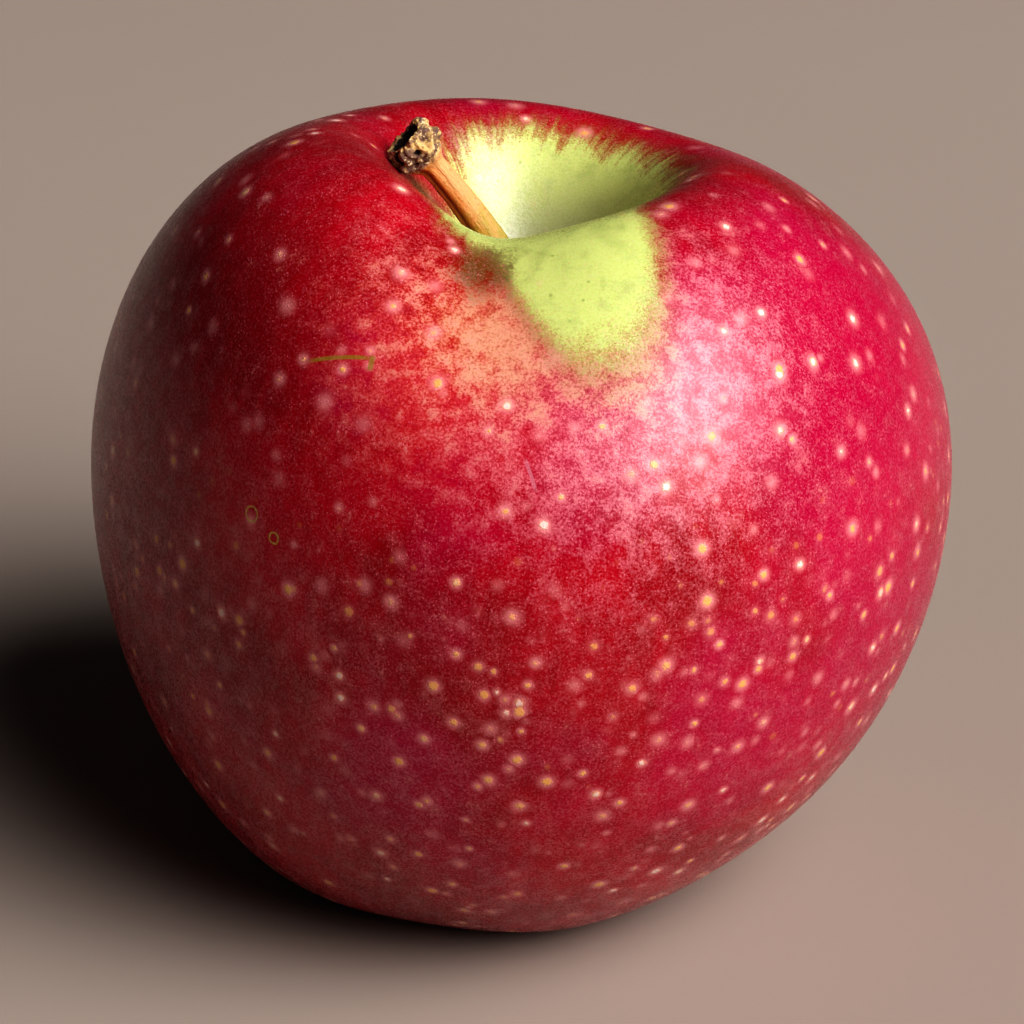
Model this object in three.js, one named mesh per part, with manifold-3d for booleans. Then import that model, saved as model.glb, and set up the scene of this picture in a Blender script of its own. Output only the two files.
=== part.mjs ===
// An apple resting on its base: one body of skin and flesh with a deep stem cavity and a calyx
// basin, a short leaning stem with a broken corky end, five dried sepals and a tuft of stamens.
// Millimetres, +Z up. The origin is the middle of the footprint at the level that the apple rests
// on, and the dip in the cavity's lip is on the -Y side.

import * as THREE from 'three';
import { mergeVertices } from 'three/addons/utils/BufferGeometryUtils.js';
import Module from 'manifold-3d';

// Fruit, measured from its axis at the widest level. Angles are degrees around the axis from +X.
const fruitRadius = 38;
const shoulderRise = 36.35;
const baseDrop = 39.3;
const baseFullness = 0.088;
const baseTaper = 0.037;
const stemEndLean = { x: -3.3, y: 0.8 };
const baseLean = { x: -5.9, y: 0.1 };
const sectionLobes = [
  { count: 2, share: 0.031, at: -43 },
  { count: 3, share: 0.023, at: 25 },
];

// Stem cavity, shoulders and the dip where the cavity's lip opens to the front.
const cavityDepth = 22.5;
const cavityRadius = 9.8;
const cavityPower = 1.89;
const cavityOffset = { x: 2, y: 0.15 };
const shoulderWaves = [
  { count: 1, height: 3.4, at: -111 },
  { count: 2, height: 1.3, at: 3 },
  { count: 3, height: 0.95, at: -29 },
];
const lipDip = 3;
const lipDipWidth = 24;
const lipDipAt = -99;

// The lip's dip and the feet fade away on both sides of a ring by sine^2 cosine^4 of the angle from
// the pole, which this brings to 1 at its highest.
const ringPeak = 6.75;

// Calyx basin, and the five low feet around it that the apple rests on.
const basinDepth = 12;
const basinRadius = 9.5;
const feet = { count: 5, height: 0.35, at: -70 };
const footWear = 0.35;

// Stem. It stands just clear of the cavity's bowl-shaped floor, and its rise and lean are measured
// from its foot.
const pieceGap = 0.3;
const stemLift = 1.4;
const stemRise = 18.5;
const stemLean = { x: -11.75, y: -0.4 };
const stemBend = { lean: 0.35, rise: 0.6 };
const stemBaseRadius = 1.5;
const stemShaftRadius = 1.1;
const stemHeadRadius = 2;
const stemFlareEnd = 0.45;
const stemHeadStart = 0.72;
const stemHeadEnd = 0.9;
const stemRagged = [
  { count: 3, share: 0.07, twist: 9 },
  { count: 5, share: 0.04, twist: -4 },
];

// Dried sepals and stamens in the basin.
const sepalCount = 5;
const sepalLength = 4.8;
const sepalWidth = 3.4;
const sepalThickness = 0.5;
const sepalRing = 3.6;
const sepalWaist = 1;
const sepalTipRing = 4.2;
const sepalCup = 0.12;
const stamenCount = 11;
const stamenLength = 3.6;
const stamenRadius = 0.22;
const stamenUneven = 0.15;
const stamenTaper = 0.7;
const stamenRing = 0.8;
const tuftRadius = 1.3;
const tuftHeight = 0.7;
const tuftTaper = 0.8;

const columns = 64;
const rows = 40;
const poleCrowding = 0.2;

const radians = THREE.MathUtils.degToRad;

// The sum of cosine lobes around the axis, each with its peak at its own angle.
function lobes(list, size, theta) {
  return list.reduce((sum, lobe) => sum + lobe[size] * Math.cos(lobe.count * (theta - radians(lobe.at))), 0);
}

// A point on the fruit's surface at azimuth theta and angle phi from the stem end. The upper half
// is a dome less a bell-shaped cavity, the lower half a fuller dome less a bell-shaped basin.
function fruitPoint(theta, phi) {
  const sine = Math.sin(phi);
  const cosine = Math.cos(phi);
  const upper = cosine > 0;
  const stemEnd = ((1 + cosine) / 2) ** 2;
  const baseEnd = ((1 - cosine) / 2) ** 2;
  const section = 1 + lobes(sectionLobes, 'share', theta) * sine ** 2 - baseTaper * baseEnd * sine;
  const radius = fruitRadius * sine * section;
  const x = radius * Math.cos(theta);
  const y = radius * Math.sin(theta);
  const ring = ringPeak * sine ** 2 * cosine ** 4;
  let z;
  if (upper) {
    const fromCavity = Math.hypot(x - cavityOffset.x, y - cavityOffset.y) / cavityRadius;
    const fromDip = (theta - radians(lipDipAt)) / 2;
    const dip = Math.exp(-((2 * Math.asin(Math.sin(fromDip)) / radians(lipDipWidth)) ** 2));
    z = shoulderRise * cosine - cavityDepth * Math.exp(-(fromCavity ** cavityPower));
    z += lobes(shoulderWaves, 'height', theta) * Math.sin(2 * phi) ** 2 - lipDip * dip * ring;
  } else {
    z = baseDrop * cosine * (1 + baseFullness * sine ** 2);
    z += basinDepth * Math.exp(-((radius / basinRadius) ** 2)) - lobes([feet], 'height', theta) * ring;
  }
  return new THREE.Vector3(
    x + stemEndLean.x * stemEnd + baseLean.x * baseEnd,
    y + stemEndLean.y * stemEnd + baseLean.y * baseEnd,
    z,
  );
}

// The surface near either end of the axis, at a place measured from that end's pole.
function surfaceAt(x, y, upper) {
  const fromPole = Math.asin(Math.hypot(x, y) / fruitRadius);
  return fruitPoint(Math.atan2(y, x), upper ? fromPole : Math.PI - fromPole);
}

// A closed body: every vertex of a sphere is moved to place(theta, phi), with phi from 0 at the
// top to pi, and the seam is welded.
function closedBody(columnCount, rowCount, place) {
  const geometry = new THREE.SphereGeometry(1, columnCount, rowCount);
  geometry.rotateX(Math.PI / 2);
  const position = geometry.getAttribute('position');
  for (let i = 0; i < position.count; i += 1) {
    const theta = Math.atan2(position.getY(i), position.getX(i));
    const phi = Math.acos(THREE.MathUtils.clamp(position.getZ(i), -1, 1));
    const point = place(theta, phi);
    position.setXYZ(i, point.x, point.y, point.z);
  }
  geometry.deleteAttribute('normal');
  geometry.deleteAttribute('uv');
  return mergeVertices(geometry);
}

function named(name, geometry, color, roughness) {
  geometry.computeVertexNormals();
  const mesh = new THREE.Mesh(geometry, new THREE.MeshStandardMaterial({ color, roughness, metalness: 0 }));
  mesh.name = name;
  return mesh;
}

// Skin and flesh, with the rows drawn together towards the two ends and the feet worn flat.
function makeFruit() {
  const geometry = closedBody(columns, rows, (theta, phi) => {
    return fruitPoint(theta, phi - poleCrowding * Math.sin(2 * phi));
  });
  geometry.computeBoundingBox();
  const restLevel = geometry.boundingBox.min.z + footWear;
  const position = geometry.getAttribute('position');
  for (let i = 0; i < position.count; i += 1) {
    position.setZ(i, Math.max(position.getZ(i), restLevel));
  }
  return named('fruit', geometry, 0xb3122b, 0.38);
}

// A round bar along a curve, whose radius is profile(t, theta) from t = 0 at the start to 1 at the
// end. The two ends close over in a blunt round.
function bar(curve, columnCount, rowCount, profile) {
  const across = new THREE.Vector3();
  const depth = new THREE.Vector3();
  return closedBody(columnCount, rowCount, (theta, phi) => {
    const t = 1 - phi / Math.PI;
    const tangent = curve.getTangentAt(t);
    depth.set(0, 1, 0).addScaledVector(tangent, -tangent.y).normalize();
    across.crossVectors(depth, tangent);
    const radius = profile(t, theta) * Math.sqrt(1 - Math.abs(2 * t - 1) ** 12);
    return curve.getPointAt(t)
      .addScaledVector(across, radius * Math.cos(theta))
      .addScaledVector(depth, radius * Math.sin(theta));
  });
}

// A stem that flares a little where it leaves the cavity's floor, and ends in a wide ragged head.
function makeStem() {
  const start = surfaceAt(cavityOffset.x, cavityOffset.y, true);
  start.z += stemLift;
  const curve = new THREE.QuadraticBezierCurve3(
    start,
    start.clone().add(new THREE.Vector3(
      stemLean.x * stemBend.lean,
      stemLean.y * stemBend.lean,
      stemRise * stemBend.rise,
    )),
    start.clone().add(new THREE.Vector3(stemLean.x, stemLean.y, stemRise)),
  );
  const geometry = bar(curve, 16, 30, (t, theta) => {
    const flare = (stemBaseRadius - stemShaftRadius) * Math.exp(-((t / stemFlareEnd) ** 2));
    const head = THREE.MathUtils.smoothstep(t, stemHeadStart, stemHeadEnd);
    const ragged = stemRagged.reduce((sum, lump) => {
      return sum + head * lump.share * Math.sin(lump.count * theta + lump.twist * t);
    }, 1);
    return (stemShaftRadius + flare + (stemHeadRadius - stemShaftRadius) * head) * ragged;
  });
  return named('stem', geometry, 0x9a6a3c, 0.8);
}

// One dried sepal: a lens-shaped section that narrows to a tip, along a rib that hangs from the
// basin's floor, closes in over the middle and curls out again at its tip.
function makeSepal(index) {
  const azimuth = (index / sepalCount) * 2 * Math.PI + radians(feet.at);
  const outside = sepalRing + sepalThickness;
  const floor = surfaceAt(outside * Math.cos(azimuth), outside * Math.sin(azimuth), false).z;
  const rib = new THREE.QuadraticBezierCurve3(
    new THREE.Vector3(sepalRing, 0, 0),
    new THREE.Vector3(sepalWaist, 0, -sepalLength / 2),
    new THREE.Vector3(sepalTipRing, 0, -sepalLength),
  );
  const geometry = closedBody(12, 12, (theta, phi) => {
    const t = (1 - Math.cos(phi)) / 2;
    const point = rib.getPoint(t);
    const tangent = rib.getTangent(t);
    const width = sepalWidth * 0.5 * (1 - t) ** 0.7 * Math.min(1, 0.6 + 1.6 * t);
    const end = Math.sqrt(Math.sin(phi));
    const across = width * end * Math.sin(theta);
    const thick = 0.5 * sepalThickness * end * Math.cos(theta) - sepalCup * across ** 2;
    return new THREE.Vector3(point.x - tangent.z * thick, across, point.z + tangent.x * thick);
  });
  geometry.rotateZ(azimuth);
  geometry.translate(baseLean.x, baseLean.y, floor - pieceGap - sepalThickness);
  return named(`sepal_${index + 1}`, geometry, 0x5b4630, 0.95);
}

function solid(wasm, geometry) {
  const plain = geometry.clone();
  plain.deleteAttribute('normal');
  plain.deleteAttribute('uv');
  const merged = mergeVertices(plain);
  return new wasm.Manifold(new wasm.Mesh({
    numProp: 3,
    vertProperties: Float32Array.from(merged.getAttribute('position').array),
    triVerts: Uint32Array.from(merged.getIndex().array),
  }));
}

// The tuft: a low round boss under the basin's floor with a ring of thin filaments joined to it.
function makeStamens(wasm) {
  const top = surfaceAt(tuftRadius, 0, false).z - pieceGap;
  const boss = new THREE.CylinderGeometry(tuftRadius, tuftRadius * tuftTaper, tuftHeight, 14);
  boss.rotateX(Math.PI / 2);
  boss.translate(0, 0, top - tuftHeight / 2);
  let tuft = solid(wasm, boss);
  for (let i = 0; i < stamenCount; i += 1) {
    const azimuth = (i / (stamenCount - 1)) * 2 * Math.PI;
    const ring = i === stamenCount - 1 ? 0 : stamenRing;
    const length = stamenLength * (1 - stamenUneven * (1 - Math.cos(3 * i)));
    const filament = new THREE.CylinderGeometry(stamenRadius, stamenRadius * stamenTaper, length, 6, 2);
    filament.rotateX(Math.PI / 2);
    filament.translate(ring * Math.cos(azimuth), ring * Math.sin(azimuth), top - tuftHeight / 2 - length / 2);
    tuft = tuft.add(solid(wasm, filament));
  }
  const mesh = tuft.getMesh();
  const geometry = new THREE.BufferGeometry();
  geometry.setAttribute('position', new THREE.BufferAttribute(mesh.vertProperties, 3));
  geometry.setIndex(new THREE.BufferAttribute(mesh.triVerts, 1));
  geometry.translate(baseLean.x, baseLean.y, 0);
  return named('stamens', geometry, 0x3d2f22, 0.95);
}

const wasm = await Module();
wasm.setup();

const fruit = makeFruit();
const apple = new THREE.Group();
apple.add(fruit, makeStem());
for (let i = 0; i < sepalCount; i += 1) {
  apple.add(makeSepal(i));
}
apple.add(makeStamens(wasm));

fruit.geometry.computeBoundingBox();
const middle = fruit.geometry.boundingBox.getCenter(new THREE.Vector3());
apple.position.set(-middle.x, -middle.y, -fruit.geometry.boundingBox.min.z);

export default apple;
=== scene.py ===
import bpy
import numpy as np
from mathutils import Euler, Matrix, Vector


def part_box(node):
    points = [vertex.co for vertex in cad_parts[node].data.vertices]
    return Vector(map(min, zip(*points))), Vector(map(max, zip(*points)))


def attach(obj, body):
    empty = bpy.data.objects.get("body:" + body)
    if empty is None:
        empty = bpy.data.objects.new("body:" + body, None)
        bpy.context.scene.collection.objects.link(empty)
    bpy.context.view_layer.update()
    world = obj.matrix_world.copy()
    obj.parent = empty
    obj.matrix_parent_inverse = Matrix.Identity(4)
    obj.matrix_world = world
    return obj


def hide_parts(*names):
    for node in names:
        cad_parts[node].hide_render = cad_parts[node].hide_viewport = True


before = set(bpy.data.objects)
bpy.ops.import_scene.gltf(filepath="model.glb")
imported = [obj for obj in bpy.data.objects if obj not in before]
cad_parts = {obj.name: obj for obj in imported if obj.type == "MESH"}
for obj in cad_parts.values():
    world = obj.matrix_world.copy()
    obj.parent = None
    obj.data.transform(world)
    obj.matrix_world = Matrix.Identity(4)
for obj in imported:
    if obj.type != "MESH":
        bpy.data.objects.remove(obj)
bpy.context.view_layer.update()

mm = 0.001


def closedGrid(name, *grids):
    # Skins over grids of points, rows from one end to the other and columns round the body. The first and
    # last rows are each one point, so both ends close in a fan and the last column joins the first.
    verts, faces, start = [], [], 0
    for points in grids:
        rows, columns = points.shape[:2]
        verts.append(onVerts(points))
        here = np.arange(columns)
        after = (here + 1) % columns
        ring = start + 1 + np.arange(rows - 3)[:, None] * columns
        quads = np.stack([ring + here, ring + columns + here, ring + columns + after, ring + after], -1)
        low = start + 1 + (rows - 3) * columns
        end = start + len(verts[-1]) - 1
        topFan = np.stack([np.full(columns, start), start + 1 + here, start + 1 + after], -1)
        bottomFan = np.stack([np.full(columns, end), low + after, low + here], -1)
        faces += topFan.tolist() + quads.reshape(-1, 4).tolist() + bottomFan.tolist()
        start = end + 1
    mesh = bpy.data.meshes.new(name)
    mesh.from_pydata(np.concatenate(verts).tolist(), [], faces)
    mesh.polygons.foreach_set("use_smooth", np.ones(len(mesh.polygons), bool))
    mesh.update()
    piece = bpy.data.objects.new(name, mesh)
    bpy.context.scene.collection.objects.link(piece)
    return piece


def onVerts(grid):
    # The grid's values in the order that closedGrid gives its vertices.
    flat = grid[1:-1].reshape((-1,) + grid.shape[2:])
    return np.concatenate([grid[0, :1], flat, grid[-1, :1]])


def writeAttribute(piece, name, *grids):
    # A number or a vector at each vertex, which a material can read by name.
    kind, field = ("FLOAT", "value") if grids[0].ndim == 2 else ("FLOAT_VECTOR", "vector")
    layer = piece.data.attributes.new(name, kind, "POINT")
    values = np.concatenate([onVerts(grid) for grid in grids])
    layer.data.foreach_set(field, values.astype(np.float32).ravel())


def waves(points, size, seed, count=28, sizeRange=(0.7, 1.5)):
    # Smooth bumps of about 1 either way: a sum of plane waves in random directions, near one wavelength.
    random = np.random.default_rng(seed)
    directions = random.normal(size=(count, 3))
    directions /= np.linalg.norm(directions, axis=1, keepdims=True)
    lengths = size * random.uniform(*sizeRange, count)
    phases = random.uniform(0, 2 * np.pi, count)
    turns = directions * (2 * np.pi / lengths)[:, None]
    return np.cos(points @ turns.T + phases).sum(-1) / np.sqrt(count / 2)


def smoothStep(low, high, value):
    # 0 below low, 1 above high, and 3s^2 - 2s^3 of the share s between them.
    share = np.clip((value - low) / (high - low), 0, 1)
    return share * share * (3 - 2 * share)


def bell(angle, at, width, power=2.0):
    # 1 at an angle, falling away on both sides as the exponent of a power of the turn.
    turn = np.abs((angle - at + 180) % 360 - 180)
    return np.exp(-((turn / width) ** power))


class Nodes:
    # A thin hand for building one material's node tree.

    def __init__(self, name):
        self.material = bpy.data.materials.new(name)
        self.material.use_nodes = True
        self.tree = self.material.node_tree
        self.shader = self.tree.nodes["Principled BSDF"]

    def add(self, kind, inputs=(), **settings):
        node = self.tree.nodes.new(kind)
        for key, value in settings.items():
            setattr(node, key, value)
        for key, value in dict(inputs).items():
            self.feed(node.inputs[key], value)
        return node

    def feed(self, socket, value):
        if isinstance(value, bpy.types.NodeSocket):
            self.tree.links.new(value, socket)
        elif isinstance(value, bpy.types.Node):
            self.tree.links.new(value.outputs[0], socket)
        else:
            socket.default_value = value

    def math(self, operation, first, second=0.0, third=0.0):
        inputs = {0: first, 1: second, 2: third}
        return self.add("ShaderNodeMath", inputs, operation=operation).outputs[0]

    def times(self, first, second):
        return self.math("MULTIPLY", first, second)

    def plus(self, base, value, amount):
        # base + value * amount
        return self.math("MULTIPLY_ADD", value, amount, base)

    def centred(self, noise):
        return self.math("SUBTRACT", noise, 0.5)

    def shaken(self, base, noise, amount):
        # base + (noise - 0.5) * amount
        return self.plus(base, self.centred(noise), amount)

    def scaled(self, vector, factor):
        return self.add("ShaderNodeVectorMath", {0: vector, "Scale": factor}, operation="SCALE").outputs[0]

    def millimetres(self):
        # Where a point lies on its piece.
        return self.scaled(self.add("ShaderNodeTexCoord").outputs["Object"], 1 / mm)

    def attribute(self, name, output="Fac"):
        return self.add("ShaderNodeAttribute", attribute_name=name).outputs[output]

    def noise(self, vector, scale, detail=2.0, rough=0.5):
        settings = {"Vector": vector, "Scale": scale, "Detail": detail, "Roughness": rough}
        return self.add("ShaderNodeTexNoise", settings).outputs["Fac"]

    def noiseColor(self, vector, scale):
        # Three noises at once, as a vector of -0.5 to 0.5.
        settings = {"Vector": vector, "Scale": scale, "Detail": 1.0}
        inputs = {0: self.add("ShaderNodeTexNoise", settings).outputs["Color"], 1: (0.5, 0.5, 0.5)}
        return self.add("ShaderNodeVectorMath", inputs, operation="SUBTRACT").outputs[0]

    def cells(self, vector, scale):
        # The distance to the nearest of scattered points, in spacings, and that point's own random numbers.
        cell = self.add("ShaderNodeTexVoronoi", {"Vector": vector, "Scale": scale}).outputs
        return cell["Distance"], self.add("ShaderNodeSeparateColor", {0: cell["Color"]}).outputs

    def span(self, value, low, high, toLow=0.0, toHigh=1.0, smooth=True):
        # Maps low..high to toLow..toHigh, held at both ends.
        kind = "SMOOTHSTEP" if smooth else "LINEAR"
        inputs = {"Value": value, "From Min": low, "From Max": high, "To Min": toLow, "To Max": toHigh}
        return self.add("ShaderNodeMapRange", inputs, interpolation_type=kind).outputs[0]

    def mix(self, factor, under, over, blend="MIX"):
        node = self.add("ShaderNodeMix", data_type="RGBA", blend_type=blend)
        factorSocket, underSocket, overSocket = node.inputs[0], node.inputs[6], node.inputs[7]
        self.feed(factorSocket, factor)
        for socket, value in ((underSocket, under), (overSocket, over)):
            self.feed(socket, (*value, 1.0) if isinstance(value, tuple) else value)
        return node.outputs[2]

    def bump(self, height, distance):
        inputs = {"Height": height, "Distance": distance, "Strength": 1.0}
        return self.add("ShaderNodeBump", inputs).outputs[0]

    def finish(self, color, roughness, normal=None, **fixed):
        self.feed(self.shader.inputs["Base Color"], color)
        self.feed(self.shader.inputs["Roughness"], roughness)
        if normal is not None:
            self.feed(self.shader.inputs["Normal"], normal)
        for key, value in fixed.items():
            self.shader.inputs[key.replace("_", " ")].default_value = value
        return self.material


def srgb(red, green, blue):
    # A colour given as the eye reads it, 0 to 255, turned to the linear values that shaders take.
    part = np.array([red, green, blue]) / 255
    linear = np.where(part <= 0.04045, part / 12.92, ((part + 0.055) / 1.055) ** 2.4)
    return tuple(float(value) for value in linear)


# The fruit. Lengths are millimetres, angles are degrees round the axis: 0 is to its right, -90 to the front.
fruitShape = dict(
    radius=38.0, shoulderRise=36.35, baseDrop=39.3, baseFullness=0.088, baseTaper=0.037,
    stemEndLean=(-3.3, 0.8), baseLean=(-5.9, 0.1),
    section=((2, 0.031, -43), (3, 0.023, 25)),         # lobe count, share of the radius, angle of a peak
    cavityDepth=22.5, cavityRadius=9.8, cavityPower=1.89, cavityOffset=(2.0, 0.15),
    shoulders=((1, 3.4, -111), (2, 1.3, 3), (3, 0.95, -29)),
    lipDip=3.0, lipDipWidth=24, lipDipAt=-99, ringPeak=6.75,
    basinDepth=12.0, basinRadius=9.5, feet=((5, 0.35, -70),), footWear=0.35,
    columns=360, rows=256, crowding=0.2,
)


def lobes(lobeList, theta):
    # A sum of cosines round the axis, each with its peak at its own angle.
    return sum(size * np.cos(count * (theta - np.radians(at))) for count, size, at in lobeList)


def fruitSurface(theta, phi):
    # A ball of radius R, stretched to its own rise above and drop below, with a few lobes in its section.
    # Above, z loses a bell-shaped cavity and gains shoulder waves. Below, it gains a bell-shaped basin and
    # loses five feet. The lip's dip and the feet lie on a ring that fades by sine^2 cosine^4. The two ends
    # lean aside by the square of how near they are.
    shape = fruitShape
    sine, cosine = np.sin(phi), np.cos(phi)
    stemEnd, baseEnd = ((1 + cosine) / 2) ** 2, ((1 - cosine) / 2) ** 2
    section = 1 + lobes(shape["section"], theta) * sine**2 - shape["baseTaper"] * baseEnd * sine
    radius = shape["radius"] * sine * section
    x, y = radius * np.cos(theta), radius * np.sin(theta)
    ring = shape["ringPeak"] * sine**2 * cosine**4
    fromCavity = np.hypot(x - shape["cavityOffset"][0], y - shape["cavityOffset"][1])
    turn = np.degrees(2 * np.arcsin(np.sin((theta - np.radians(shape["lipDipAt"])) / 2)))
    dip = shape["lipDip"] * np.exp(-((turn / shape["lipDipWidth"]) ** 2))
    cavity = shape["cavityDepth"] * np.exp(-((fromCavity / shape["cavityRadius"]) ** shape["cavityPower"]))
    upper = shape["shoulderRise"] * cosine - cavity
    upper += lobes(shape["shoulders"], theta) * np.sin(2 * phi) ** 2 - dip * ring
    basin = shape["basinDepth"] * np.exp(-((radius / shape["basinRadius"]) ** 2))
    lower = shape["baseDrop"] * cosine * (1 + shape["baseFullness"] * sine**2)
    lower += basin - lobes(shape["feet"], theta) * ring
    return np.stack([
        x + shape["stemEndLean"][0] * stemEnd + shape["baseLean"][0] * baseEnd,
        y + shape["stemEndLean"][1] * stemEnd + shape["baseLean"][1] * baseEnd,
        np.where(cosine > 0, upper, lower),
    ], -1)


def polarGrid(rows, columns, crowding=0.0):
    # Angles from one end of the axis to the other, drawn together at the ends, and round it.
    phi = np.linspace(0, np.pi, rows)
    phi = phi - crowding * np.sin(2 * phi)
    theta = np.linspace(0, 2 * np.pi, columns, endpoint=False)
    return np.meshgrid(theta, phi)


theta, phi = polarGrid(fruitShape["rows"], fruitShape["columns"], fruitShape["crowding"])
grown = fruitSurface(theta, phi)
restLevel = grown[..., 2].min() + fruitShape["footWear"]
grown[..., 2] = np.maximum(grown[..., 2], restLevel)
low, high = np.array(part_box("fruit")) / mm
toFrame = (low + high) / 2 - (grown.min((0, 1)) + grown.max((0, 1))) / 2
toFrame[2] = low[2] - restLevel
fruit = closedGrid("fruit_skin", (grown + toFrame) * mm)


def place(thetaDegrees, phiDegrees, step=1e-4):
    # A point of the skin in the frame, in millimetres, with its eastward, northward and outward directions.
    aroundAxis, fromStem = np.radians(thetaDegrees), np.radians(phiDegrees)
    point = fruitSurface(aroundAxis, fromStem)
    east = fruitSurface(aroundAxis + step, fromStem) - point
    south = fruitSurface(aroundAxis, fromStem + step) - point
    east, south = east / np.linalg.norm(east), south / np.linalg.norm(south)
    out = np.cross(south, east)
    out /= np.linalg.norm(out)
    return point + toFrame, east, np.cross(out, east), out


# Ground colour: how far a point is inside the green patch, which fills the cavity and runs out over the
# dip in its lip as a tongue. Lengths are millimetres round the cavity's own centre, angles are degrees.
# The warm, thin and salmon zones each have a place (angle round the axis, angle from the stem) and a size.
# The thin and salmon zones are partly painted highlight, lightening the skin where the key light's sheen
# spreads.
groundPatch = dict(
    radius=11.8, tongueReach=14.8, tongueAt=-78, tongueWidth=19, tongueSquareness=2.6,
    shelfReach=4.2, shelfAt=-110, shelfWidth=17, westCut=6.5, westAt=176, westWidth=42,
    crispEdge=1.5, smearEdge=2.6, smearAt=-60, smearWidth=22, deepest=12, belowFruit=-40.0, basinPatch=5.5,
    blotchAt=(19.3, -103), blotchSize=(3.4, 3.4),
    warm=((-98, 45), 12.5), thin=((-76, 49), 16.0), salmonAndPaintedHighlight=((-91, 40.5), 8.5),
    rimReach=4.6, rimAt=-84, rimWidth=30, rimSquareness=4.0, streakLength=9,
)


def paintGround(patch):
    # The patch's edge is a circle, plus bells for the tongue and the shelf to its left, less a bell to the
    # west. The edge's softness is a bell too, and so is the fading of the zones, the blotch and the rim.
    offset, radius = fruitShape["cavityOffset"], fruitShape["radius"]
    roundX, roundY = radius * np.sin(phi) * np.cos(theta), radius * np.sin(phi) * np.sin(theta)
    flatX, flatY = roundX - offset[0], roundY - offset[1]
    reach, bearing = np.hypot(flatX, flatY), np.degrees(np.arctan2(flatY, flatX))
    above = np.cos(phi) > 0
    tongue = bell(bearing, patch["tongueAt"], patch["tongueWidth"], patch["tongueSquareness"])
    shelf = bell(bearing, patch["shelfAt"], patch["shelfWidth"])
    west = bell(bearing, patch["westAt"], patch["westWidth"])
    smear = bell(bearing, patch["smearAt"], patch["smearWidth"])
    edge = patch["radius"] + patch["tongueReach"] * tongue
    edge = edge + patch["shelfReach"] * shelf - patch["westCut"] * west
    soft = patch["crispEdge"] + (patch["smearEdge"] - patch["crispEdge"]) * smear
    inside = np.where(above, edge - reach, patch["belowFruit"])
    writeAttribute(fruit, "ground", np.clip(inside / soft, -patch["deepest"], patch["deepest"]))
    writeAttribute(fruit, "tongue", np.where(above, tongue, 0.0))

    blotchReach, blotchBearing = patch["blotchAt"]
    turn = np.radians(bearing - blotchBearing)
    blotch = ((reach - blotchReach) / patch["blotchSize"][0]) ** 2
    blotch = blotch + (reach * np.sin(turn) / patch["blotchSize"][1]) ** 2
    writeAttribute(fruit, "blotch", np.where(above & (np.cos(turn) > 0), np.exp(-blotch), 0.0))
    for name in ("warm", "thin", "salmonAndPaintedHighlight"):
        at, size = patch[name]
        away = np.linalg.norm(grown - fruitSurface(*np.radians(at)), axis=-1)
        writeAttribute(fruit, name, np.exp(-((away / size) ** 2)))
    rim = bell(bearing, patch["rimAt"], patch["rimWidth"], patch["rimSquareness"])
    rim = rim * np.exp(-((np.minimum(inside, 0) / patch["rimReach"]) ** 2))
    writeAttribute(fruit, "rim", np.where(above, rim, 0.0))

    fromEye = np.exp(-((np.hypot(roundX, roundY) / patch["basinPatch"]) ** 2))
    writeAttribute(fruit, "eye", np.where(above, 0.0, fromEye))
    writeAttribute(fruit, "southward", phi / np.pi)
    meridian = [radius * np.cos(theta), radius * np.sin(theta), patch["streakLength"] * phi]
    writeAttribute(fruit, "meridian", np.stack(meridian, -1))


paintGround(groundPatch)
print("fruit surface", len(fruit.data.vertices), "points")

skinLook = dict(
    deepRed=srgb(142, 0, 20), brightRed=srgb(172, 0, 32), crimson=srgb(170, 0, 66),
    # The milky pink below is partly thin red skin and partly painted highlight.
    brownRed=srgb(134, 14, 10), orange=srgb(200, 60, 30), thinRed=srgb(204, 96, 116),
    # The salmon below is partly the ground colour and partly painted highlight.
    salmonAndPaintedHighlight=srgb(216, 168, 128), rimBrown=srgb(136, 78, 30), olive=srgb(98, 70, 24), russet=srgb(142, 104, 58),
    tongueGreen=srgb(198, 208, 124), paleGreen=srgb(140, 142, 108), leafGreen=srgb(170, 184, 100),
    poreGreen=srgb(120, 136, 44),
    speckle=srgb(224, 118, 132), halo=srgb(238, 160, 160),
    core=srgb(226, 168, 84), coreWhite=srgb(236, 206, 196),
    farDots=dict(spacing=3.15, halo=1.4, core=0.46),       # lenticels by the stem, millimetres
    nearDots=dict(spacing=2.35, halo=1.3, core=0.44),      # lenticels by the calyx
    dotSizes=(0.6, 1.2), dotRoughness=0.5, heartFull=0.5,
    bumpDepth=0.04, gloss=(0.22, 0.34), indexOfRefraction=1.45, specularLevel=0.36,
    waxRoughness=0.5, waxIndexOfRefraction=1.65,
)

# Noises: their scale in each millimetre, detail and roughness.
skinNoise = dict(
    cloud=(0.075, 3.0, 0.55), pinkCloud=(0.055, 2.0), pinkCloudShift=(71, 13, 40), brownCloud=(0.09, 2.0),
    streak=(0.5, 3.0, 0.6), mottle=(0.62, 3.0, 0.6), grain=(4.4, 2.0, 0.65), fine=(6.5, 2.0, 0.6),
    cells=4.4, cellShake=(2.4, 0.35), pores=0.62,
)

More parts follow.
